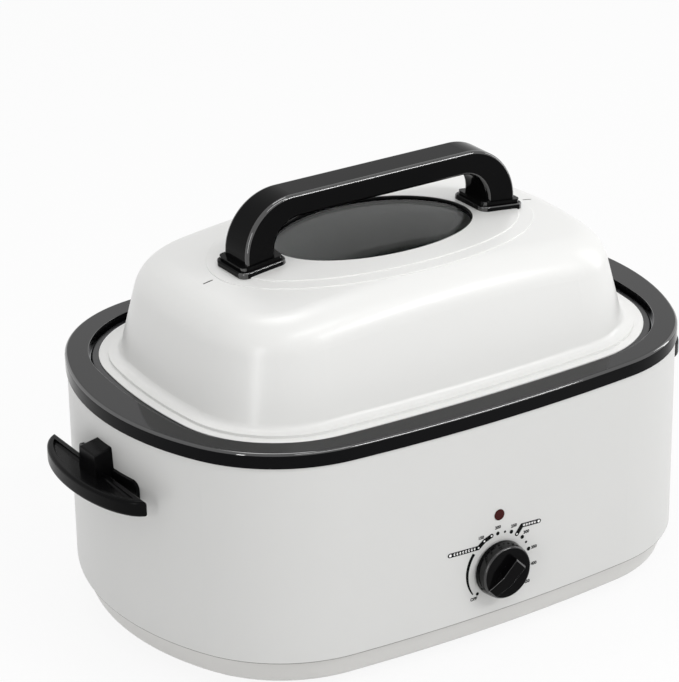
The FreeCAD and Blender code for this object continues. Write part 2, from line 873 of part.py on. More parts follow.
def lid_washer(side):
    top = -lid_wall - screw_clearance
    disc = rod(washer_radius, (0, 0, top - washer_thickness), (0, 0, top))
    hole = rod(m5_radius + screw_clearance, (0, 0, top - washer_thickness), (0, 0, top))
    return on_crown(side, disc.cut(hole))


# Side handles, made at the +X end and mirrored


def half_moon(margin, low, high):
    """The grip's plan: half an ellipse cut off straight beside the casing."""
    centre = end_x + grip_centre_gap
    half, reach = grip_half_length - margin, grip_bulge - margin
    curve = Part.Ellipse(V(centre, half, low), V(centre + reach, 0, low), V(centre, 0, low)).toShape()
    oval = Part.Face(Part.Wire([curve])).extrude(V(0, 0, high - low))
    return oval.common(box((end_x + grip_chord_gap + margin, -half, low), (centre + reach, half, high)))


def side_handle():
    low = grip_top_z - grip_thickness
    blade = half_moon(0.0, low, grip_top_z)
    blade = blade.makeFillet(grip_edge_radius, [e for e in blade.Edges if e.BoundBox.ZLength < 1e-6])
    dish = half_moon(grip_dish_margin, grip_top_z - grip_dish_depth, grip_top_z)
    dish = dish.makeFillet(grip_dish_depth * 0.8, edges_at(dish, grip_top_z - grip_dish_depth))
    pocket = half_moon(grip_pocket_margin, low, low + grip_pocket_depth)
    ribs = []
    far_x = end_x + grip_centre_gap + grip_bulge
    for y in (-grip_rib_y, 0, grip_rib_y):
        half = block_half_width + block_draft if y == 0 else grip_rib_width / 2
        ribs.append(box((end_x, y - half, low), (far_x, y + half, low + grip_pocket_depth)))
    blade = blade.cut(dish).cut(pocket.cut(ribs))
    handle = fused(blade, grip_block(low), grip_plate())
    holes = []
    for y in (-grip_screw_y, grip_screw_y):
        face_x = end_depth(y)
        end = (face_x + grip_screw_bite + screw_clearance, y, grip_screw_z)
        holes.append(rod(m4_radius + screw_clearance, (face_x - plate_thickness, y, grip_screw_z), end))
    return handle.cut(holes)


def grip_plate():
    """The mounting plate that follows the casing's end."""
    plate = rim.ring(plate_low_z, plate_high_z, plate_thickness - shell_inset, -shell_inset)
    return plate.common(end_block(plate_half_length, plate_low_z, plate_high_z, plate_corner_radius))


def end_block(half_length, low, high, corner):
    """A block through the end of the casing, with corners rounded as seen from the end."""
    block = box((end_x / 2, -half_length, low), (2 * end_x, half_length, high))
    return block.makeFillet(corner, [e for e in block.Edges if e.BoundBox.XLength > end_x])


def grip_block(low):
    """The neck between the plate and the grip, narrower at its top and sloping down outward."""
    bottom, top = block_half_width + block_draft, block_half_width
    outline = [V(0, -bottom, low), V(0, bottom, low), V(0, top, block_high_z), V(0, -top, block_high_z)]
    reach = plate_thickness + block_reach
    block = Part.Face(Part.makePolygon(outline + outline[:1])).extrude(V(reach, 0, 0))
    block.translate(V(end_x - plate_thickness, 0, 0))
    outer_x = end_x + block_reach
    above = [V(end_x, 0, block_high_z), V(outer_x, 0, block_high_z - block_slope)]
    above += [V(outer_x, 0, block_high_z + 1), V(end_x, 0, block_high_z + 1)]
    wedge = Part.Face(Part.makePolygon(above + above[:1])).extrude(V(0, 2 * bottom, 0))
    wedge.translate(V(0, -bottom, 0))
    block = block.cut(wedge)
    edges = [e for e in block.Edges if e.BoundBox.ZMin > grip_top_z and e.BoundBox.XMax > end_x + 1]
    block = block.makeFillet(block_edge_radius, edges)
    return block.cut(rim.prism(low - 1, block_high_z + 1, -shell_inset))


def backplate():
    low, high = plate_low_z + backplate_margin, plate_high_z - backplate_margin
    half = plate_half_length - backplate_margin
    inner = -shell_inset - shell_wall
    plate = rim.ring(low, high, inner, inner - backplate_wall)
    plate = plate.common(box((0, -half, low), (2 * end_x, half, high)))
    holes = []
    for y in (-grip_screw_y, grip_screw_y):
        holes.append(rod(m4_radius + screw_clearance, (0, y, grip_screw_z), (2 * end_x, y, grip_screw_z)))
    return plate.cut(holes)


def grip_screws():
    shapes = []
    for y in (-grip_screw_y, grip_screw_y):
        inner = end_depth(abs(y) + m4_head_radius, -shell_wall - backplate_wall)
        head = rod(m4_head_radius, (inner - m4_head_height, y, grip_screw_z), (inner, y, grip_screw_z))
        tip = end_depth(y) + grip_screw_bite
        shank = rod(m4_radius, (inner, y, grip_screw_z), (tip, y, grip_screw_z))
        shapes.append(fused(head, shank))
    return shapes


# Controls


def along_front(shape, z):
    """Turns a shape made along +Z to stand out of the front at height z, its base on the casing."""
    placed = shape.copy()
    placed.rotate(V(0, 0, 0), V(1, 0, 0), 90)
    placed.translate(V(0, front_y, z))
    return placed


def knob_turned(shape):
    """Turns a shape drawn pointing up so that it points at the off mark."""
    placed = shape.copy()
    placed.rotate(V(0, 0, 0), UP, -dial_off_angle)
    return placed


def control_knob():
    """A round-shouldered disc with a raised bar across it, bored for the shaft."""
    low, face = knob_gap, knob_gap + knob_body_height
    body = rod(knob_radius, (0, 0, low), (0, 0, face))
    body = body.makeFillet(knob_shoulder_radius, edges_at(body, face))
    half, reach, top = knob_bar_width / 2, knob_bar_half_length, face + knob_bar_height
    bar = box((-half, -reach, low), (half, reach, top))
    bar = bar.makeFillet(knob_bar_edge_radius, [e for e in bar.Edges if e.BoundBox.ZMax > low + 1])
    index_half = knob_index_width / 2
    index_low = (-index_half, reach - knob_index_length, top - knob_index_depth)
    index = box(index_low, (index_half, reach, top))
    socket = shaft_solid(low, low + knob_socket_depth, shaft_radius + shaft_clearance)
    return along_front(knob_turned(fused(body, bar).cut([index, socket])), dial_z)


def shaft_solid(low, high, radius):
    """A D-shaped bar along Z."""
    flat = box((-radius, radius - shaft_flat, low), (radius, 2 * radius, high))
    return rod(radius, (0, 0, low), (0, 0, high)).cut(flat)


def thermostat_shaft():
    tip = knob_gap + knob_socket_depth - shaft_stop_gap
    flat_start = knob_gap - screw_clearance
    plain = rod(shaft_radius, (0, 0, thermostat_front() - shaft_seat_depth), (0, 0, flat_start))
    flatted = shaft_solid(flat_start, tip, shaft_radius)
    return along_front(knob_turned(fused(plain, flatted)), dial_z)


def thermostat_front():
    """Where the thermostat's front face is, measured outward from the casing's front."""
    liner_face = lid.depth_at(0, -liner_inset)
    return liner_face + thermostat_plate + thermostat_depth + front_y


def thermostat_body():
    front = thermostat_front()
    half_x, half_z = thermostat_width / 2, thermostat_height / 2
    case = box((-half_x, -half_z, front - thermostat_depth), (half_x, half_z, front))
    bush = rod(thermostat_bush_radius, (0, 0, front), (0, 0, front + thermostat_bush_length))
    terminals = []
    for x in (-thermostat_terminal_pitch / 2, thermostat_terminal_pitch / 2):
        z = front - thermostat_depth / 2
        low = (x - thermostat_terminal_width / 2, -half_z - thermostat_terminal_length, z)
        high = (x + thermostat_terminal_width / 2, -half_z, z + thermostat_terminal_thickness)
        terminals.append(box(low, high))
    bore_low = front - shaft_seat_depth - screw_clearance
    bore = rod(shaft_radius + shaft_clearance, (0, 0, bore_low), (0, 0, front + thermostat_bush_length))
    return along_front(fused(case, bush, *terminals).cut(bore), dial_z)


def thermostat_bracket():
    """The strap that holds the thermostat against the liner."""
    half_x = thermostat_width / 2 + thermostat_ear
    half_z = thermostat_height / 2
    front = thermostat_front() - thermostat_depth
    strap = box((-half_x, -half_z, front - 4 * thermostat_plate), (half_x, half_z, front))
    placed = along_front(strap, dial_z)
    return placed.cut(lid.prism(liner_bottom_z, liner_top_z, -liner_inset))


def indicator_lens():
    head = Part.makeCylinder(lens_radius, lens_proud)
    head = head.makeFillet(lens_proud * 0.8, edges_at(head, lens_proud))
    barrel = rod(lens_barrel_radius, (0, 0, -lens_depth), (0, 0, 0))
    bore = rod(lens_barrel_radius - lamp_cap_wall, (0, 0, -lens_depth), (0, 0, -lamp_cap_wall))
    return along_front(fused(head, barrel).cut(bore), lamp_z)


def indicator_lamp():
    """The neon lamp in the lens's barrel, with its collar behind."""
    start = -lamp_cap_wall - lens_clearance
    bulb = rod(lens_barrel_radius - lamp_cap_wall - lens_clearance, (0, 0, -lens_depth), (0, 0, start))
    collar = rod(lens_barrel_radius, (0, 0, -lamp_length), (0, 0, -lens_depth))
    return along_front(fused(bulb, collar), lamp_z)


# Electrical parts


def cord_gland():
    """The bushing that the supply cord goes through at the back."""
    back = -front_y
    outer = back + gland_flange_thickness
    flange = rod(gland_flange_radius, (0, back, gland_z), (0, outer, gland_z))
    outer_edges = [e for e in flange.Edges if abs(e.BoundBox.YMin - outer) < 1e-3]
    flange = flange.makeFillet(gland_flange_thickness / 3, outer_edges)
    start = back - shell_wall - gland_barrel_length
    barrel = rod(gland_barrel_radius, (0, start, gland_z), (0, back, gland_z))
    nose = Part.makeCone(gland_barrel_radius, gland_nose_radius, gland_reach, V(0, back, gland_z), V(0, 1, 0))
    tip = back + gland_reach
    throat = tip - gland_throat_length
    bore = rod(gland_bore_radius, (0, throat, gland_z), (0, tip, gland_z))
    socket = rod(gland_barrel_radius - gland_barrel_wall, (0, start, gland_z), (0, throat, gland_z))
    return fused(flange, barrel, nose).cut([bore, socket])


def terminal_block():
    x, y = terminal_length / 2, terminal_depth / 2
    top = floor_top_z + terminal_height
    block = box((-x, terminal_y - y, floor_top_z), (x, terminal_y + y, top))
    pitch = terminal_length / terminal_wells
    wells = []
    for i in range(terminal_wells):
        well_x = (i - (terminal_wells - 1) / 2) * pitch
        bottom = (well_x, terminal_y, top - terminal_well_depth)
        wells.append(rod(terminal_well_radius, bottom, (well_x, terminal_y, top)))
    return block.cut(wells)


def thermal_cutout():
    """The safety cut-out under the liner's floor."""
    high = liner_bottom_z
    x, y = cutout_plate_length / 2, cutout_plate_width / 2
    plate = box((cutout_x - x, -y, high - cutout_plate_thickness), (cutout_x + x, y, high))
    can = rod(cutout_radius, (cutout_x, 0, high - cutout_height), (cutout_x, 0, high))
    return fused(plate, can)


def lead_low_z():
    return floor_top_z + lead_gap + lead_radius


def thermostat_lead(side):
    """From the terminal block along the floor and up to one of the thermostat's terminals."""
    z = lead_low_z()
    x = side * thermostat_terminal_pitch / 2
    end_z = dial_z - thermostat_height / 2 - thermostat_terminal_length
    middle = thermostat_front() - thermostat_depth / 2 + thermostat_terminal_thickness / 2
    y = front_y - middle
    return tube([(x, terminal_y - terminal_depth / 2, z), (x, y, z), (x, y, end_z)], lead_bend, lead_radius)


def heater_lead(side):
    """From the terminal block out past the insulation, up, and in to one end of the element."""
    low_z = lead_low_z()
    high_z = band_low_z + band_height / 2
    x = side * band_tab_pitch / 2
    band_inner = band_gap - liner_inset
    tab_end = lid.depth_at(x, band_inner + band_thickness / 2) + band_tab_length + band_thickness / 2
    blanket_face = lid.depth_at(x, band_inner + band_thickness + blanket_gap + blanket_thickness)
    y = blanket_face + lead_gap + lead_radius
    start_y = terminal_y + terminal_depth / 2
    points = [(x, start_y, low_z), (x, y, low_z), (x, y, high_z), (x, tab_end, high_z)]
    return tube(points, min(lead_bend, (y - tab_end) * 0.8), lead_radius)


def lamp_lead(side):
    """From the indicator lamp back and down to the thermostat."""
    x = side * lamp_lead_pitch / 2
    start_y = front_y + lamp_length
    y = start_y + lamp_lead_run
    top_z = dial_z + thermostat_height / 2
    return tube([(x, start_y, lamp_z), (x, y, lamp_z), (x, y, top_z)], lamp_lead_bend, lamp_lead_radius)


def main():
    os.makedirs("parts", exist_ok=True)
    save("outer_shell", outer_shell())
    save("base_pan", base_pan())
    save("rim_collar", rim_collar())
    save("feet", *feet())
    save("foot_screws", *foot_screws())
    save("liner_brackets", *liner_brackets())
    save("cookwell_liner", cookwell_liner())
    save("heater_band", heater_band())
    save("insulation_blanket", blanket())
    save("insert_pan", insert_pan())
    save("roasting_rack", roasting_rack())
    outside = lid_outside()
    save("lid_shell", lid_shell(outside))
    glass, gasket, retainer = window_parts()
    save("window_glass", glass)
    save("window_gasket", gasket)
    save("window_retainer", retainer)
    save("lid_handle", lid_handle())
    for name, side in (("left", -1), ("right", 1)):
        save("handle_pad_" + name, handle_pad(side, outside))
    save("lid_handle_screws", lid_screw(-1), lid_screw(1))
    save("lid_handle_washers", lid_washer(-1), lid_washer(1))
    handle, plate = side_handle(), backplate()
    save("side_handle_right", handle)
    save("side_handle_left", mirrored(handle))
    save("handle_backplates", plate, mirrored(plate))
    screws = grip_screws()
    save("side_handle_screws", *screws, *[mirrored(s) for s in screws])
    save("control_knob", control_knob())
    save("thermostat_shaft", thermostat_shaft())
    save("thermostat_body", thermostat_body())
    save("thermostat_bracket", thermostat_bracket())
    save("indicator_lens", indicator_lens())
    save("indicator_lamp", indicator_lamp())
    save("cord_gland", cord_gland())
    save("terminal_block", terminal_block())
    save("thermal_cutout", thermal_cutout())
    save("thermostat_leads", thermostat_lead(-1), thermostat_lead(1))
    save("heater_leads", heater_lead(-1), heater_lead(1))
    save("lamp_leads", lamp_lead(-1), lamp_lead(1))


main()
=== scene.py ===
import math

import bmesh
import bpy
from mathutils import Matrix, Vector


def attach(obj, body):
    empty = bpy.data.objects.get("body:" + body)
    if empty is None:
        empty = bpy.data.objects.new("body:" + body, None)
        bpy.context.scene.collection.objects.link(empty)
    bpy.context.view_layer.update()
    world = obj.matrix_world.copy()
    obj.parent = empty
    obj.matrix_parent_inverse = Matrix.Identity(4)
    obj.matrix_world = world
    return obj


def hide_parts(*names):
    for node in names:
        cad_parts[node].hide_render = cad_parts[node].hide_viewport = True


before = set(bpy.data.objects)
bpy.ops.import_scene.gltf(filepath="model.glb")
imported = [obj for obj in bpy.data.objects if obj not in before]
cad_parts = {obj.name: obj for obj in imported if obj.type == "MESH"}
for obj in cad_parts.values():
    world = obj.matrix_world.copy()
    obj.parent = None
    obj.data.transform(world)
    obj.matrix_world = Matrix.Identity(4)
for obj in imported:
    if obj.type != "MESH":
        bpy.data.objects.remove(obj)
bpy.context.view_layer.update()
scene = bpy.context.scene
mm = 0.001
print("stage: frame loaded, nodes", len(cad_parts))


# Camera

cameraPlan = {
    "azimuth": 32.77,  # degrees round from the front towards the left end
    "elevation": 23.91,
    "roll": -0.88,
    "target": (28.1, 100.4, 179.4),
    "distance": 2742.2,
    "focal": 2920.2,  # in pixels of an image of this height
    "imageHeight": 682,
    "sensor": 36,
    "farthest": 50,  # metres
}


def placeCamera(plan):
    azimuth, elevation, roll = (math.radians(plan[k]) for k in ("azimuth", "elevation", "roll"))
    level = math.cos(elevation)
    back = Vector((-math.sin(azimuth) * level, -math.cos(azimuth) * level, math.sin(elevation)))
    right = back.cross(Vector((0, 0, -1))).normalized()
    up = right.cross(-back)
    tiltedRight = right * math.cos(roll) + up * math.sin(roll)
    tiltedUp = up * math.cos(roll) - right * math.sin(roll)
    place = (Vector(plan["target"]) + back * plan["distance"]) * mm
    data = bpy.data.cameras.new("mainCamera")
    data.sensor_width = plan["sensor"]
    data.lens = plan["focal"] / plan["imageHeight"] * data.sensor_width
    data.clip_end = plan["farthest"]
    camera = bpy.data.objects.new("mainCamera", data)
    turn = Matrix((tiltedRight, tiltedUp, back)).transposed().to_4x4()
    camera.matrix_world = Matrix.Translation(place) @ turn
    scene.collection.objects.link(camera)
    scene.camera = camera


placeCamera(cameraPlan)


# Shader building

class Wire:  # a shader socket that can be used in sums
    def __init__(self, paint, socket):
        self.paint = paint
        self.socket = socket

    def sum(self, operation, first, second):
        return self.paint.node("Math", {"operation": operation}, {0: first, 1: second})

    def __add__(self, other):
        return self.sum("ADD", self, other)

    def __radd__(self, other):
        return self.sum("ADD", other, self)

    def __mul__(self, other):
        return self.sum("MULTIPLY", self, other)

    def __rmul__(self, other):
        return self.sum("MULTIPLY", other, self)

    def __gt__(self, other):
        return self.sum("GREATER_THAN", self, other)

    def __lt__(self, other):
        return self.sum("LESS_THAN", self, other)


glint = {  # the sharp light on a rounded edge
    # bands of lean: 0 is a wall that lies along the axis, 1 is a face across it
    "wall": (0.08, 0.3),
    "edge": (0.3, 0.95),
    "face": (0.95, 1.1),
    "rough": 0.03,
    "bend": 1.85,
}


class Paint:  # one material, with its nodes
    def __init__(self, name, tree=None):
        if tree is None:
            self.material = bpy.data.materials.new(name)
            self.material.use_nodes = True
            tree = self.material.node_tree
        self.tree = tree
        self.shader = tree.nodes.get("Principled BSDF")

    def node(self, kind, settings, inputs, out=0):
        made = self.tree.nodes.new("ShaderNode" + kind)
        for key, value in settings.items():
            setattr(made, key, value)
        for key, value in inputs.items():
            self.feed(made.inputs[key], value)
        return Wire(self, made.outputs[out])

    def feed(self, socket, value):
        if isinstance(value, Wire):
            self.tree.links.new(socket, value.socket)
        elif hasattr(value, "__len__") and len(value) == 3 and len(socket.default_value) == 4:
            socket.default_value = (*value, 1)
        else:
            socket.default_value = value

    def set(self, **values):
        for key, value in values.items():
            self.feed(self.shader.inputs[key.replace("_", " ")], value)

    def place(self):
        return self.node("TexCoord", {}, {}, "Object")

    def stretched(self, scale):
        return self.node("Mapping", {}, {"Vector": self.place(), "Scale": scale})

    def speck(self, scale, detail, roughness=0.5, at=None):
        inputs = {"Vector": at or self.place(), "Scale": scale, "Detail": detail, "Roughness": roughness}
        return self.node("TexNoise", {}, inputs, "Fac")

    def tint(self, first, second, share):
        return self.node("Mix", {"data_type": "RGBA"}, {0: share, 6: first, 7: second}, 2)

    def bump(self, height, strength, distance):
        inputs = {"Height": height, "Strength": strength, "Distance": distance}
        return self.node("Bump", {}, inputs)

    def leaning(self, axis, low, high):
        # 1 where the surface's normal leans towards the axis by more than low and less than high
        normal = self.node("NewGeometry", {}, {}, "Normal")
        lean = self.node("SeparateXYZ", {}, {0: normal}, axis)
        lean = self.node("Math", {"operation": "ABSOLUTE"}, {0: lean})
        return (lean > low) * (lean < high)

    def addGlint(self, axis, first, second):
        # each of the two is a band's name and how much of the coat it gets
        weights = [self.leaning(axis, *glint[band]) * share for band, share in (first, second)]
        self.set(
            Coat_Weight=weights[0] + weights[1],
            Coat_Roughness=glint["rough"],
            Coat_IOR=glint["bend"],
        )

    def seenRays(self):
        # more than 0 for rays that look at the backdrop, 0 for those that only light things
        kinds = ("Is Camera Ray", "Is Glossy Ray", "Is Transmission Ray")
        camera, glossy, through = (self.node("LightPath", {}, {}, kind) for kind in kinds)
        return camera + glossy + through


# Finishes. A speck is its scale, in specks to the metre, and its detail. Depths are in metres.

enamelGrain = {
    "cloud": (6.0, 3.0),
    "fine": (260.0, 2.0),
    "ripple": (90.0, 1.0),
    "fineShare": 0.3,
    "uneven": 0.06,
    "depth": 0.0004,
    "coatRough": 0.2,
    "coatBend": 1.5,
}


def enamel(name, colour, cloudy, rough, coat, peel, gloss=0.5, glintAxis=None):
    grain = enamelGrain
    paint = Paint(name)
    cloud = paint.speck(*grain["cloud"])
    fine = paint.speck(*grain["fine"])
    ripple = paint.speck(*grain["ripple"])
    skin = ripple * (1 - grain["fineShare"]) + fine * grain["fineShare"]
    paint.set(
        Base_Color=paint.tint(colour, cloudy, cloud),
        Roughness=rough + grain["uneven"] * fine,
        Specular_IOR_Level=gloss,
        Normal=paint.bump(skin, peel, grain["depth"]),
    )
    if glintAxis is None:
        paint.set(Coat_Weight=coat, Coat_Roughness=grain["coatRough"], Coat_IOR=grain["coatBend"])
    else:
        paint.addGlint(glintAxis, ("edge", 1.0), ("face", coat))
    return paint


mouldGrain = {
    "fine": (700.0, 2.0),
    "wear": (14.0, 4.0),
    "wornGain": 1.35,
    "wornLift": 0.002,
    "uneven": 0.06,
    "depth": 0.0002,
}


def moulded(name, colour, rough, grainy, gloss=0.5, glintAxis=None, edge=1.0, wall=1.0):
    grain = mouldGrain
    paint = Paint(name)
    fine = paint.speck(*grain["fine"])
    wear = paint.speck(*grain["wear"])
    worn = tuple(c * grain["wornGain"] + grain["wornLift"] for c in colour)
    paint.set(
        Base_Color=paint.tint(colour, worn, wear),
        Roughness=rough + grain["uneven"] * wear,
        Specular_IOR_Level=gloss,
        Normal=paint.bump(fine, grainy, grain["depth"]),
    )
    if glintAxis is not None:
        paint.addGlint(glintAxis, ("edge", edge), ("wall", wall))
    return paint


metalGrain = {
    "brushed": (1.0, 3.0, 0.6),
    "stretch": (40, 900, 900),
    "blotch": (45.0, 3.0),
    "blotchShade": 0.82,
    "scratched": 0.12,
    "depth": 0.0001,
}


def metal(name, colour, rough, streak):
    grain = metalGrain
    paint = Paint(name)
    brushed = paint.speck(*grain["brushed"], paint.stretched(grain["stretch"]))
    blotch = paint.speck(*grain["blotch"])
    paint.set(
        Base_Color=paint.tint(colour, tuple(c * grain["blotchShade"] for c in colour), blotch),
        Metallic=1.0,
        Roughness=rough + streak * brushed,
        Normal=paint.bump(brushed, grain["scratched"], grain["depth"]),
    )
    return paint


glassGrain = {"smear": (18.0, 3.0), "uneven": 0.02}


def clear(name, colour, rough, bend=1.45):
    grain = glassGrain
    paint = Paint(name)
    smear = paint.speck(*grain["smear"])
    paint.set(
        Base_Color=colour,
        Transmission_Weight=1.0,
        IOR=bend,
        Roughness=rough + grain["uneven"] * smear,
    )
    return paint


blackPlastic = (0.0016, 0.0016, 0.0018)
finishes = {
    # enamels: colour, cloudy colour, roughness, coat, peel, gloss
    "casing_enamel": enamel("casingEnamel", (0.70, 0.70, 0.688), (0.68, 0.68, 0.668), 0.36, 0.1, 0.05),
    "base_enamel": enamel("baseEnamel", (0.69, 0.683, 0.665), (0.67, 0.663, 0.645), 0.38, 0.1, 0.05),
    "seam_shade": enamel("seamShade", (0.20, 0.19, 0.18), (0.17, 0.165, 0.16), 0.6, 0.0, 0.05),
    "lid_enamel": enamel("lidEnamel", (0.85, 0.85, 0.835), (0.83, 0.83, 0.815), 0.3, 0.2, 0.03),
    "rim_enamel": enamel(
        "rimEnamel", (0.0025, 0.0025, 0.003), (0.004, 0.004, 0.0045), 0.06, 0.28, 0.03, 0.06,
        glintAxis="Z",
    ),
    "pan_enamel": enamel("panEnamel", (0.008, 0.008, 0.009), (0.014, 0.014, 0.016), 0.2, 0.0, 0.08, 0.3),
    # mouldings: colour, roughness, grain, gloss
    "black_phenolic": moulded("blackPhenolic", blackPlastic, 0.07, 0.02, 0.045, glintAxis="Y"),
    "knob_phenolic": moulded(
        "knobPhenolic", blackPlastic, 0.07, 0.02, 0.045,
        glintAxis="Y", edge=0.65, wall=0.25,
    ),
    "grip_phenolic": moulded("gripPhenolic", blackPlastic, 0.2, 0.03, 0.06),
    "foot_rubber": moulded("footRubber", (0.02, 0.02, 0.02), 0.6, 0.2),
    "gasket_rubber": moulded("gasketRubber", (0.008, 0.008, 0.008), 0.45, 0.2, 0.2),
    "gland_plastic": moulded("glandPlastic", (0.01, 0.01, 0.01), 0.35, 0.1, 0.3),
    # metals: colour, roughness, streaks
    "plated_steel": metal("platedSteel", (0.62, 0.61, 0.58), 0.24, 0.14),
    "aluminised_steel": metal("aluminisedSteel", (0.66, 0.67, 0.68), 0.34, 0.16),
    "heater_jacket": metal("heaterJacket", (0.48, 0.46, 0.44), 0.3, 0.2),
    "rack_chrome": metal("rackChrome", (0.74, 0.74, 0.75), 0.12, 0.08),
    "glass_fibre": moulded("glassFibre", (0.75, 0.73, 0.66), 0.85, 0.6),
    # glasses: colour, roughness, bend of light
    "window_glass": clear("windowGlass", (0.95, 0.97, 0.965), 0.01, 1.1),
    "thermostat_ceramic": moulded("thermostatCeramic", (0.72, 0.68, 0.6), 0.5, 0.1),
    "terminal_ceramic": moulded("terminalCeramic", (0.8, 0.78, 0.72), 0.45, 0.1),
    "red_lens": moulded("redLens", (0.04, 0.0045, 0.0042), 0.14, 0.01, 0.1),
    "lamp_glass": clear("lampGlass", (0.9, 0.75, 0.6), 0.02),
    "lead_sleeve": moulded("leadSleeve", (0.62, 0.6, 0.54), 0.7, 0.4),
    # black print on the dial, also laid on the vent plates as painted shade
    "black_ink": moulded("blackInkAndShade", (0.003, 0.003, 0.003), 0.5, 0.02, 0.05),
    "white_ink": moulded("whiteInk", (0.8, 0.8, 0.79), 0.4, 0.02, 0.3),
}

# nodes whose finish differs from that of their slot
ownFinish = {
    "base_pan": "base_enamel",
    "side_handle_left": "grip_phenolic",
    "side_handle_right": "grip_phenolic",
}
for name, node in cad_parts.items():
    slot = node.data.materials[0].name.split(".")[0]
    node.data.materials.clear()
    node.data.materials.append(finishes[ownFinish.get(name, slot)].material)
print("stage: finishes laid on", len(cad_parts), "nodes")


# Outlines and meshes, in millimetres

class Outline:  # a closed line of eight tangent arcs
    def __init__(self, halfLength, halfDepth, cornerRadius, endAngle, sideAngle):
        end, side = math.radians(endAngle), math.radians(sideAngle)
        restX = halfLength - cornerRadius * (math.cos(end) - math.cos(side))
        restY = halfDepth - cornerRadius * (math.sin(side) - math.sin(end))
        flatEnd, flatSide = 1 - math.cos(end), 1 - math.sin(side)
        scale = flatEnd * flatSide - math.cos(side) * math.sin(end)
        endRadius = (restX * flatSide - math.cos(side) * restY) / scale
        sideRadius = (flatEnd * restY - math.sin(end) * restX) / scale
        endCentre, sideCentre = halfLength - endRadius, halfDepth - sideRadius
        reach = endRadius - cornerRadius
        cornerX, cornerY = endCentre + reach * math.cos(end), reach * math.sin(end)
        half = math.pi
        self.sideRadius, self.sideCentre = sideRadius, sideCentre
        self.arcs = [  # centre, radius, first and last angle
            (endCentre, 0, endRadius, -end, end),
            (cornerX, cornerY, cornerRadius, end, side),
            (0, sideCentre, sideRadius, side, half - side),
            (-cornerX, cornerY, cornerRadius, half - side, half - end),
            (-endCentre, 0, endRadius, half - end, half + end),
            (-cornerX, -cornerY, cornerRadius, half + end, half + side),
            (0, -sideCentre, sideRadius, half + side, 2 * half - side),
            (cornerX, -cornerY, cornerRadius, 2 * half - side, 2 * half - end),
        ]

    def points(self, grow, perArc):
        line = []
        for x, y, radius, first, last in self.arcs:
            for i in range(perArc):
                angle = first + (last - first) * i / perArc
                line.append((x + (radius + grow) * math.cos(angle), y + (radius + grow) * math.sin(angle)))
        return line

    def frontAt(self, x, grow):
        return -self.sideCentre - math.sqrt((self.sideRadius + grow) ** 2 - x * x)


rimLine = Outline(halfLength=280.0, halfDepth=195.5, cornerRadius=132.0, endAngle=27.0, sideAngle=84.5)
casingInset = 1.5  # from the rim's line to the casing's


def meshOf(name, points, faces):
    mesh = bpy.data.meshes.new(name)
    mesh.from_pydata([Vector(p) * mm for p in points], [], faces)
    mesh.validate()
    return mesh


def facedOut(mesh, cutUp=False):
    work = bmesh.new()
    work.from_mesh(mesh)
    if cutUp:
        bmesh.ops.triangulate(work, faces=[f for f in work.faces if len(f.verts) > 4])
    bmesh.ops.recalc_face_normals(work, faces=work.faces)
    work.to_mesh(mesh)
    work.free()
    return mesh


def addPiece(name, mesh, finish, body, sharp=35.0):
    angle = math.radians(sharp)
    work = bmesh.new()
    work.from_mesh(mesh)
    for face in work.faces:
        face.smooth = True
    for edge in work.edges:
        edge.smooth = len(edge.link_faces) != 2 or edge.calc_face_angle() < angle
    work.to_mesh(mesh)
    work.free()
    mesh.materials.clear()
    mesh.materials.append(finishes[finish].material)
    piece = bpy.data.objects.new(name, mesh)
    scene.collection.objects.link(piece)
    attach(piece, body)
    return piece


# Dial print on the casing's front

dial = {
    "z": 78.5,
    "markRadius": 33.2,
    "labelRadius": 39.0,
    "offLabelIn": 3.2,
    "letter": 4.1,
    "letterSwell": 0.0375,  # how much bolder the letters are, as a share of their size
    "lift": 0.12,
    "lightLift": 0.06,  # how far the pale print stands above the black
    "sunk": 0.03,
    "dots": [  # angle, radius
        (-2.5, 1.8), (10.8, 1.15), (23.4, 1.85), (49, 1.9), (62, 1.15), (76, 1.9), (102, 1.8), (130, 1.7),
    ],
    "offDot": (-22.8, -19.8, 1.6),  # across, up, radius
    "labels": [
        ("150", -29.5), ("200", -2), ("250", 24), ("300", 49), ("350", 78), ("400", 102), ("450", 128),
        ("OFF", -132),
    ],
    "sweep": (-52.5, -124.7),  # the thick arc between off and the first mark
    "sweepHalf": (1.55, 0.55),
    "sweepOut": 0.3,
    "sweepSteps": 24,
    "warmTag": [(-51.6, 25.9), (-21.8, 25.1), (-15.7, 29.9), (-8.1, 32.7)],
    "thawTag": [(19.2, 26.5), (24.5, 33.2), (43.4, 32.0)],
    "tagHalf": 2.1,
    "tagDot": 0.85,
    "warmEnd": (0.5, 1.35),  # how far in from the tag's end its pale dot is, and its radius
    "thawEnd": (-0.4, 1.3),
}
waves = {  # wavy strokes that stand for warmth
    "count": 8,
    "start": 4.6,
    "pitch": 3.0,
    "sway": 0.5,
    "swayTurn": 1.6,
    "below": 1.05,
    "rise": 0.35,
    "points": 7,
    "half": 0.33,
}
crosses = {  # small crosses that stand for frost
    "count": 5,
    "start": 2.4,
    "pitch": 2.95,
    "bars": 3,
    "arm": 1.15,
    "turned": 0.5,
    "half": 0.24,
}


def onFront(u, v, lift):
    return (u, rimLine.frontAt(u, -casingInset) - lift, dial["z"] + v)


def discShape(u, v, radius, count=24):
    turn = 2 * math.pi / count
    return [(u + radius * math.cos(i * turn), v + radius * math.sin(i * turn)) for i in range(count)]


def smallDisc(u, v, radius):
    return discShape(u, v, radius, 16)


def polar(angle, radius):
    return radius * math.sin(math.radians(angle)), radius * math.cos(math.radians(angle))


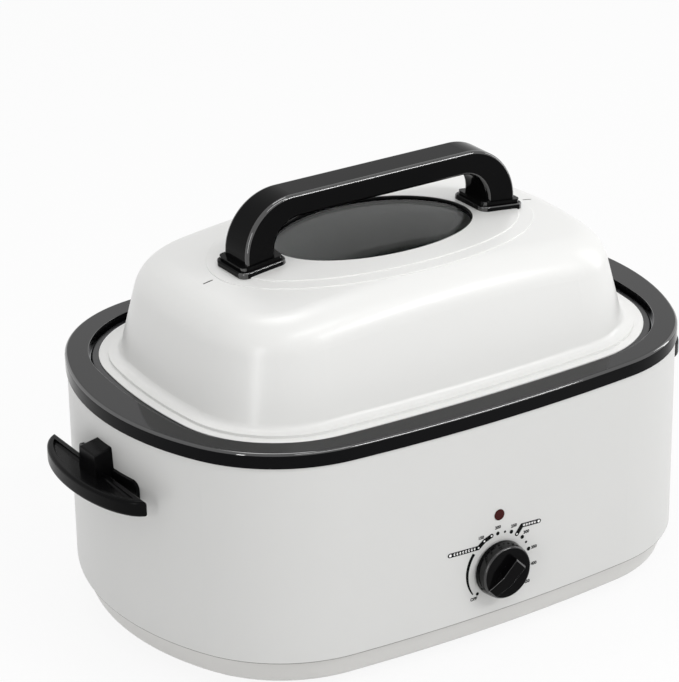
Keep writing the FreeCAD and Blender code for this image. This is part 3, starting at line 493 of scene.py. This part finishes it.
def bandShape(line, half, cap=8):
    # the outline of a band of even width round a line of points, with round ends
    points = [Vector(p) for p in line]
    runs = [(b - a).normalized() for a, b in zip(points, points[1:])]
    left, right = [], []
    for i, point in enumerate(points):
        before, after = runs[max(i - 1, 0)], runs[min(i, len(runs) - 1)]
        along = (before + after).normalized()
        normal = Vector((-along.y, along.x))
        reach = half / max(normal.dot(Vector((-after.y, after.x))), 0.5)
        left.append(point + normal * reach)
        right.append(point - normal * reach)

    def roundEnd(centre, start):
        arm = start - centre
        ring = []
        for k in range(1, cap):
            c, s = math.cos(-math.pi * k / cap), math.sin(-math.pi * k / cap)
            ring.append(centre + Vector((arm.x * c - arm.y * s, arm.x * s + arm.y * c)))
        return ring

    outline = left + roundEnd(points[-1], left[-1]) + right[::-1] + roundEnd(points[0], right[0])
    return [tuple(p) for p in outline]


def thinBand(line, half):
    return bandShape(line, half, 4)


def sampled(line, step=3.0):
    points = [Vector(p) for p in line]
    out = [tuple(points[0])]
    for a, b in zip(points, points[1:]):
        count = max(1, math.ceil((b - a).length / step))
        out += [tuple(a.lerp(b, k / count)) for k in range(1, count + 1)]
    return out


def inkPlate(name, shapes, finish, lift, sunk):
    points, faces = [], []
    for shape in shapes:
        start, count = len(points), len(shape)
        points += [onFront(u, v, lift) for u, v in shape] + [onFront(u, v, -sunk) for u, v in shape]
        faces.append(tuple(range(start, start + count)))
        for i in range(count):
            j = (i + 1) % count
            faces.append((start + i, start + count + i, start + count + j, start + j))
    mesh = facedOut(meshOf(name, points, faces), cutUp=True)
    addPiece(name, mesh, finish, "oven")


def lettering(name, words, size, swell, finish, lift):
    # words: text, centre across, centre up
    work = bmesh.new()
    for text, u, v in words:
        curve = bpy.data.curves.new(name, "FONT")
        curve.body = text
        curve.size = size * mm
        curve.align_x = "CENTER"
        curve.align_y = "CENTER"
        curve.extrude = 0.5 * lift * mm
        curve.offset = swell * size * mm
        curve.resolution_u = 3
        holder = bpy.data.objects.new(name, curve)
        scene.collection.objects.link(holder)
        bpy.context.view_layer.update()
        drawn = holder.evaluated_get(bpy.context.evaluated_depsgraph_get())
        solid = bpy.data.meshes.new_from_object(drawn)
        for vertex in solid.vertices:
            x, y, z = vertex.co / mm
            vertex.co = Vector(onFront(u + x, v + y, z + 0.5 * lift)) * mm
        work.from_mesh(solid)
        bpy.data.objects.remove(holder)
        bpy.data.meshes.remove(solid)
    bmesh.ops.remove_doubles(work, verts=work.verts, dist=1e-7)
    mesh = bpy.data.meshes.new(name)
    work.to_mesh(mesh)
    work.free()
    addPiece(name, mesh, finish, "oven")


def sweepShape(plan):
    (first, last), (thick, thin) = plan["sweep"], plan["sweepHalf"]
    radius, steps = plan["markRadius"] + plan["sweepOut"], plan["sweepSteps"]
    outer, inner = [], []
    for k in range(steps + 1):
        angle = first + (last - first) * k / steps
        half = thick + (thin - thick) * (k / steps) ** 2
        outer.append(polar(angle, radius + half))
        inner.append(polar(angle, radius - half))
    return outer + inner[::-1]


def warmSigns(plan, strokes):
    (farX, farY), (lowX, lowY), middle, high = plan["warmTag"]
    shift, size = plan["warmEnd"]
    signs = [smallDisc(u, v, plan["tagDot"]) for u, v in (middle, high, (lowX, lowY))]
    signs.append(smallDisc(farX + shift, farY, size))
    for k in range(strokes["count"]):
        u = farX + strokes["start"] + strokes["pitch"] * k
        v = farY + (lowY - farY) * (u - farX) / (lowX - farX)
        wave = []
        for t in range(strokes["points"]):
            sway = strokes["sway"] * math.sin(t * strokes["swayTurn"])
            wave.append((u + sway, v - strokes["below"] + strokes["rise"] * t))
        signs.append(thinBand(wave, strokes["half"]))
    return signs


def thawSigns(plan, stars):
    (lowX, lowY), (elbowX, elbowY), (farX, farY) = plan["thawTag"]
    shift, size = plan["thawEnd"]
    signs = [smallDisc(lowX, lowY, plan["tagDot"]), smallDisc(farX + shift, farY, size)]
    for k in range(stars["count"]):
        u = elbowX + stars["start"] + stars["pitch"] * k
        v = elbowY + (farY - elbowY) * (u - elbowX) / (farX - elbowX)
        for bar in range(stars["bars"]):
            angle = bar * math.pi / stars["bars"] + stars["turned"]
            c, s = stars["arm"] * math.cos(angle), stars["arm"] * math.sin(angle)
            signs.append(thinBand([(u - c, v - s), (u + c, v + s)], stars["half"]))
    return signs


def printDial(plan):
    radius, lift, sunk = plan["markRadius"], plan["lift"], plan["sunk"]
    shapes = [discShape(*polar(angle, radius), size) for angle, size in plan["dots"]]
    shapes += [discShape(*plan["offDot"]), sweepShape(plan)]
    shapes += [bandShape(sampled(plan[tag]), plan["tagHalf"]) for tag in ("warmTag", "thawTag")]
    inkPlate("dialPrint", shapes, "black_ink", lift, sunk)
    light = warmSigns(plan, waves) + thawSigns(plan, crosses)
    inkPlate("dialPrintLight", light, "white_ink", lift + plan["lightLift"], sunk)
    words = []
    for text, angle in plan["labels"]:
        inward = plan["offLabelIn"] if text == "OFF" else 0
        words.append((text, *polar(angle, plan["labelRadius"] - inward)))
    lettering("dialNumbers", words, plan["letter"], plan["letterSwell"], "black_ink", lift)
    print("stage: dial printed,", len(shapes), "marks and", len(words), "labels")


printDial(dial)


# Control knob

knob = {
    "profile": [  # radius, height above the casing
        (0.0, 1.2), (25.0, 1.2), (25.8, 1.5), (26.0, 2.2), (25.7, 5.0), (25.35, 8.0),
        (25.0, 10.5), (24.7, 12.0), (24.3, 12.9), (23.8, 13.45), (23.1, 13.8), (22.0, 13.8),
        (17.5, 13.5), (12.0, 13.3), (6.0, 13.3), (0.0, 13.3),
    ],
    "steps": 128,
    "angle": -133.0,
    "bar": [  # place along it, height and half width
        (-14.4, 13.2, 7.0), (-13.8, 19.1, 6.9), (-12.4, 20.2, 6.8), (7.0, 20.0, 6.4), (23.6, 14.4, 5.6),
    ],
    "barFoot": 12.6,
    "barFlare": 0.5,  # how much wider each side is at the foot
    "barEdge": {"width": 0.5, "segments": 3, "angle": 30.0},
    "capSharp": 40,
    "barSharp": 30,
}


def revolved(name, profile, steps, place):
    # a turned solid, with each point put where the given rule places it
    points, faces, rings = [], [], []
    for radius, height in profile:
        if radius == 0:
            rings.append([len(points)])
            points.append(place(0, 0, height))
            continue
        rings.append(list(range(len(points), len(points) + steps)))
        for k in range(steps):
            angle = 2 * math.pi * k / steps
            points.append(place(radius * math.cos(angle), radius * math.sin(angle), height))
    for low, high in zip(rings, rings[1:]):
        for k in range(steps):
            j = (k + 1) % steps
            corners = [low[k % len(low)], low[j % len(low)], high[j % len(high)], high[k % len(high)]]
            faces.append(tuple(dict.fromkeys(corners)))
    return meshOf(name, points, faces)


def softened(piece, width, segments, angle):
    bevel = piece.modifiers.new("edges", "BEVEL")
    bevel.width = width * mm
    bevel.segments = segments
    bevel.limit_method = "ANGLE"
    bevel.angle_limit = math.radians(angle)
    bevel.harden_normals = True


def buildKnob(plan):
    turn = math.radians(plan["angle"])
    front = rimLine.frontAt(0, -casingInset)

    def place(a, b, height):  # b runs along the bar, towards the mark it points at
        u = a * math.cos(turn) + b * math.sin(turn)
        v = -a * math.sin(turn) + b * math.cos(turn)
        return (u, front - height, dial["z"] + v)

    cap = addPiece(
        "knobBody", revolved("knobBody", plan["profile"], plan["steps"], place),
        "knob_phenolic", "knob", plan["capSharp"],
    )
    low, flare = plan["barFoot"], plan["barFlare"]
    points, faces = [], []
    for b, high, half in plan["bar"]:
        for a, h in ((-half - flare, low), (-half, high), (half, high), (half + flare, low)):
            points.append(place(a, b, h))
    count = 4
    for start in range(0, len(points) - count, count):
        for i in range(count):
            j = (i + 1) % count
            faces.append((start + i, start + j, start + count + j, start + count + i))
    faces.append(tuple(range(count)))
    faces.append(tuple(range(len(points) - count, len(points)))[::-1])
    bar = addPiece(
        "knobBar", facedOut(meshOf("knobBar", points, faces)),
        "black_phenolic", "knob", plan["barSharp"],
    )
    softened(bar, **plan["barEdge"])
    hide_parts("control_knob")
    print("stage: knob built")


buildKnob(knob)


# Painted shade: a dark band in the seam under the casing's hem, and dark plates inside the lid's two vent
# slots

seam = {
    "z": 36.0,
    "gap": 0.02,
    "drop": 0.75,
    "outer": -1.9,
    "inner": -4.6,
    "perArc": 40,
}
vents = {
    "x": 170.0,
    "half": 4.85,
    "width": 1.7,
    "endSteps": 8,
    "sphere": 1100.0,  # the crown's radius
    "top": 336.8,
    "step": 0.85,  # each of the crown's two steps
    "sunk": 0.25,
    "deep": 0.45,
}


# painted shade: a thin dark grey ring just under the casing's hem, standing for the shade in the seam's
# gap
def buildSeam(plan):
    outer = rimLine.points(plan["outer"], plan["perArc"])
    inner = rimLine.points(plan["inner"], plan["perArc"])
    high, low = plan["z"] - plan["gap"], plan["z"] - plan["drop"]
    rings = ((outer, high), (outer, low), (inner, low), (inner, high))
    points = [(x, y, z) for ring, z in rings for x, y in ring]
    count = len(outer)
    faces = []
    for k in range(len(rings)):
        start, after = k * count, (k + 1) % len(rings) * count
        for i in range(count):
            j = (i + 1) % count
            faces.append((start + i, after + i, after + j, start + j))
    addPiece("seamBand", meshOf("seamBand", points, faces), "seam_shade", "oven")


# painted shade: a black plate sunk just under each vent slot stands for the shade inside the slot
def buildVentShade(name, side, plan):
    centre = plan["top"] - plan["sphere"] - 2 * plan["step"]
    half, wide, steps = plan["half"], plan["width"] / 2, plan["endSteps"]
    angles = [math.pi * k / steps for k in range(steps + 1)]
    end = [(half - wide + wide * math.sin(angle), wide * math.cos(angle)) for angle in angles]
    outline = end + [(-u, -v) for u, v in end]
    points = []
    for sink in (plan["sunk"], plan["sunk"] + plan["deep"]):
        for u, v in outline:
            x = side * (plan["x"] + u)
            points.append((x, v, centre + math.sqrt(plan["sphere"] ** 2 - x * x - v * v) - sink))
    count = len(outline)
    faces = [tuple(range(count)), tuple(range(2 * count - 1, count - 1, -1))]
    faces += [(i, i + count, (i + 1) % count + count, (i + 1) % count) for i in range(count)]
    addPiece(name, facedOut(meshOf(name, points, faces)), "black_ink", "lid")


buildSeam(seam)
buildVentShade("ventShadeLeft", -1, vents)
buildVentShade("ventShadeRight", 1, vents)
print("stage: seam and vents built")


# Studio, in metres

studio = {
    "ambient": 0.5,
    "floorSize": 24.0,
    "floorColour": (0.86, 0.86, 0.86),
    "floorRough": 0.9,
    "floorWhite": 0.9,  # how far the floor is drawn as plain white
    "lampAim": (0, 0, 0.2),
    "lamps": {  # place, size, power
        "keyLamp": ((2.0, -3.0, 2.4), (1.6, 0.3), 41),
        "frontTopLamp": ((0.15, -2.0, 3.0), (2.0, 0.3), 19),
        "leftLamp": ((-3.3, -1.8, 1.0), (0.35, 2.0), 21),
        "rightLamp": ((3.2, -0.3, 1.0), (0.5, 2.0), 14),
        "topLamp": ((0.2, 0.8, 3.2), (1.2, 1.0), 18),
    },
}
white = (1, 1, 1)


def lightWorld(plan):
    world = bpy.data.worlds.new("studio")
    world.use_nodes = True
    scene.world = world
    paint = Paint("studio", world.node_tree)
    sky = world.node_tree.nodes["Background"]
    paint.feed(sky.inputs["Color"], white)
    strength = plan["ambient"] + (1 - plan["ambient"]) * (paint.seenRays() > 0.5)
    paint.feed(sky.inputs["Strength"], strength)


def layFloor(plan):
    half = plan["floorSize"] / 2
    mesh = bpy.data.meshes.new("floor")
    corners = [(-half, -half, 0), (half, -half, 0), (half, half, 0), (-half, half, 0)]
    mesh.from_pydata(corners, [], [(0, 1, 2, 3)])
    floor = bpy.data.objects.new("floor", mesh)
    scene.collection.objects.link(floor)
    paint = Paint("floorCard")
    paint.set(Base_Color=plan["floorColour"], Roughness=plan["floorRough"])
    glow = paint.node("Emission", {}, {"Color": white, "Strength": 1.0})
    plain = Wire(paint, paint.shader.outputs[0])
    share = paint.seenRays() * plan["floorWhite"]
    both = paint.node("MixShader", {}, {0: share, 1: plain, 2: glow})
    paint.feed(paint.tree.nodes["Material Output"].inputs["Surface"], both)
    mesh.materials.append(paint.material)


def hangLamps(plan):
    for name, (place, size, power) in plan["lamps"].items():
        data = bpy.data.lights.new(name, "AREA")
        data.shape = "RECTANGLE"
        data.size, data.size_y = size
        data.energy = power
        lamp = bpy.data.objects.new(name, data)
        lamp.location = place
        towards = Vector(plan["lampAim"]) - Vector(place)
        lamp.rotation_euler = towards.to_track_quat("-Z", "Y").to_euler()
        scene.collection.objects.link(lamp)


lightWorld(studio)
layFloor(studio)
hangLamps(studio)
scene.view_settings.view_transform = "Standard"
print("stage: studio lit")
